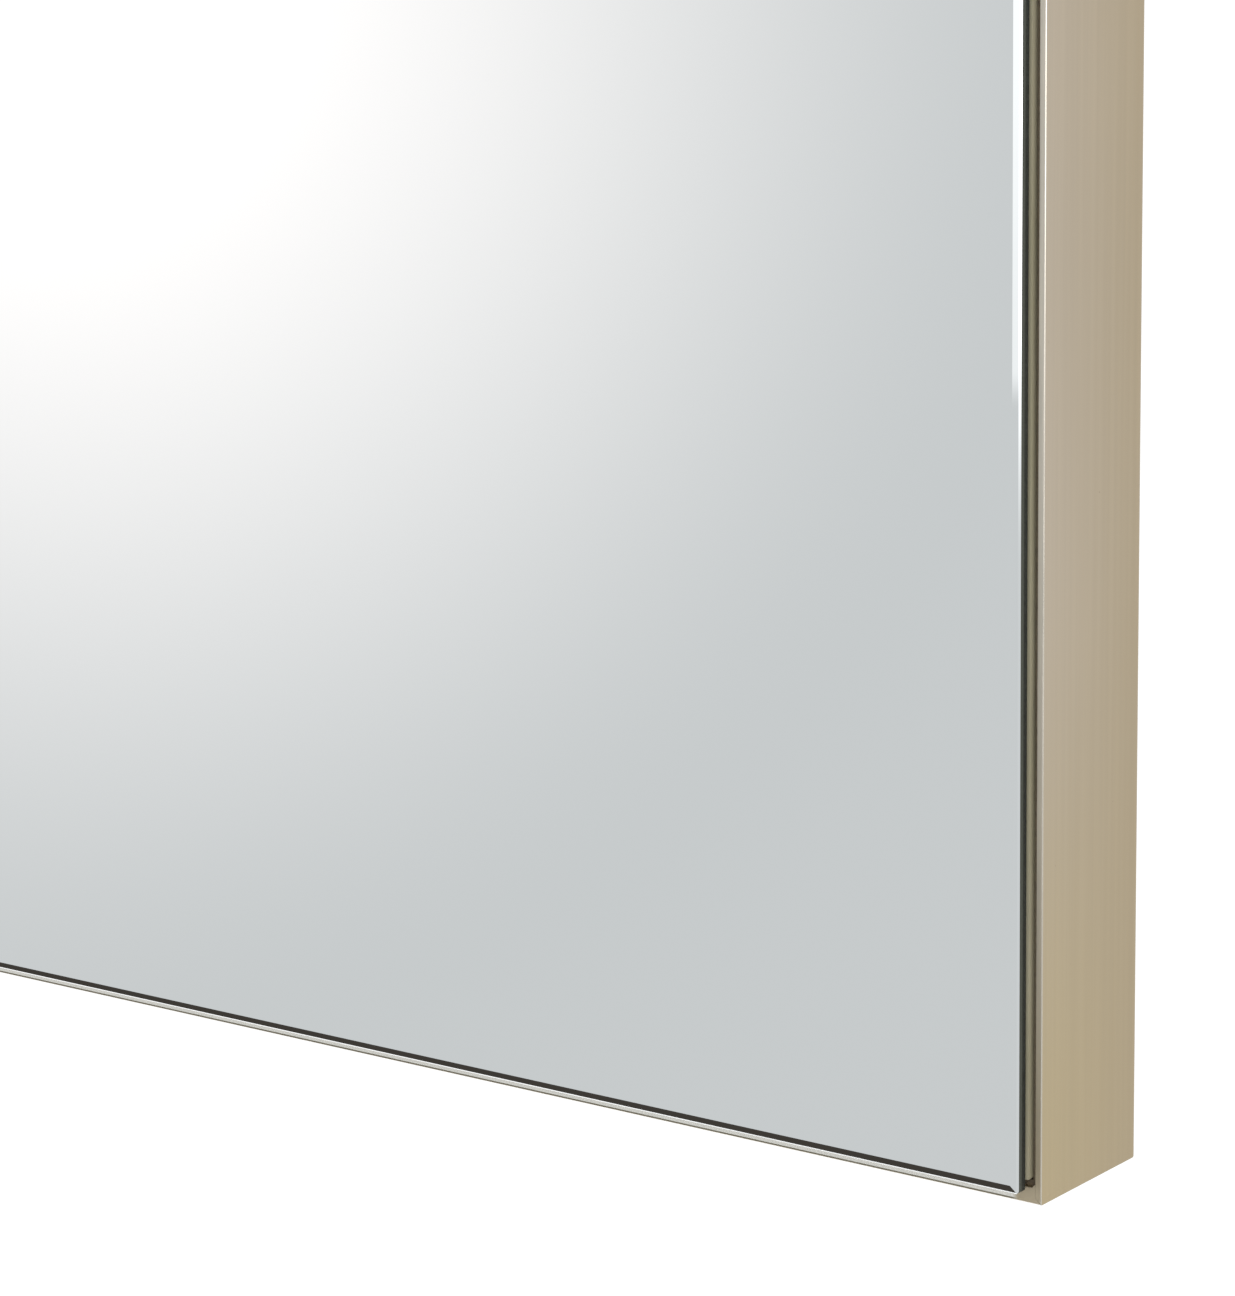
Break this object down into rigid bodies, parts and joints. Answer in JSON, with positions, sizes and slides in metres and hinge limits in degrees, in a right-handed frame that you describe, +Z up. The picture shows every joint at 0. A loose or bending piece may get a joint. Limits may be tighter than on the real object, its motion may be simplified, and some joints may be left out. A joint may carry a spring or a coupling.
{
  "type": "medicine cabinet",
  "caption": "Recessed bathroom medicine cabinet: a bevelled mirror door in a slim champagne metal surround, with a box in the wall behind it that holds glass shelves.",
  "frame": {"origin": "centre of the surround in the plane of the wall's surface", "axes": "+Z up, -Y out of the wall into the room, so the mirror faces -Y and the box in the wall lies on the +Y side"},
  "size_m": [0.508, 0.1449, 0.762],
  "materials": {
    "champagne": "vertically brushed, champagne anodised",
    "champagne_sheet": "satin champagne lacquer",
    "white_enamel": "white powder coat, fine orange peel",
    "zinc_steel": "bright zinc plate",
    "hinge_steel": "satin stainless",
    "rivet_metal": "plain aluminium",
    "nickel": "bright nickel plate",
    "shelf_glass": "clear toughened glass, polished edges",
    "mirror": "silvered float glass",
    "backing_film": "grey backing paint under safety film",
    "black_tape": "black foam tape",
    "foam": "light grey closed-cell foam",
    "black_rubber": "black seal rubber",
    "clear_rubber": "clear soft plastic",
    "magnet": "black moulded magnet pad"
  },
  "bodies": {
    "cabinet": {"rail_bottom": "champagne", "rail_top": "champagne", "rail_right": "champagne", "rail_left": "champagne", "corner_keys": "zinc_steel", "face_plate": "white_enamel", "plate_frame": "white_enamel", "tub": "white_enamel", "tub_flange": "white_enamel", "back_panel": "white_enamel", "standoffs": "zinc_steel", "standoff_screws": "zinc_steel", "tub_rivets": "rivet_metal", "shelf_clips": "nickel", "door_gasket": "foam", "dust_seal": "black_rubber", "door_bumpers": "clear_rubber", "catch_magnets": "magnet", "hinge_leaf_case": "hinge_steel", "hinge_pin": "hinge_steel", "hinge_rivets_case": "rivet_metal"},
    "door": {"mirror_glass": "mirror", "mirror_backing": "backing_film", "mounting_tape": "black_tape", "door_pan": "champagne_sheet", "door_channels": "zinc_steel", "door_liner": "white_enamel", "liner_rivets": "rivet_metal", "inner_mirror": "mirror", "strike_plates": "zinc_steel", "hinge_leaf_door": "hinge_steel", "hinge_rivets_door": "rivet_metal"},
    "lower_shelf": {"shelf_lower": "shelf_glass"},
    "middle_shelf": {"shelf_middle": "shelf_glass"},
    "upper_shelf": {"shelf_upper": "shelf_glass"}
  },
  "joints": [
    {"name": "door_hinge", "type": "hinge", "parent": "cabinet", "child": "door", "pos_m": [-0.2508, -0.05025, 0], "axis": [0, 0, -1], "range_deg": [0, 100]},
    {"name": "lower_shelf_lift", "type": "slide", "parent": "cabinet", "child": "lower_shelf", "axis": [0, 0, 1], "range_m": [0, 0.02]},
    {"name": "middle_shelf_lift", "type": "slide", "parent": "cabinet", "child": "middle_shelf", "axis": [0, 0, 1], "range_m": [0, 0.02]},
    {"name": "upper_shelf_lift", "type": "slide", "parent": "cabinet", "child": "upper_shelf", "axis": [0, 0, 1], "range_m": [0, 0.02]}
  ]
}
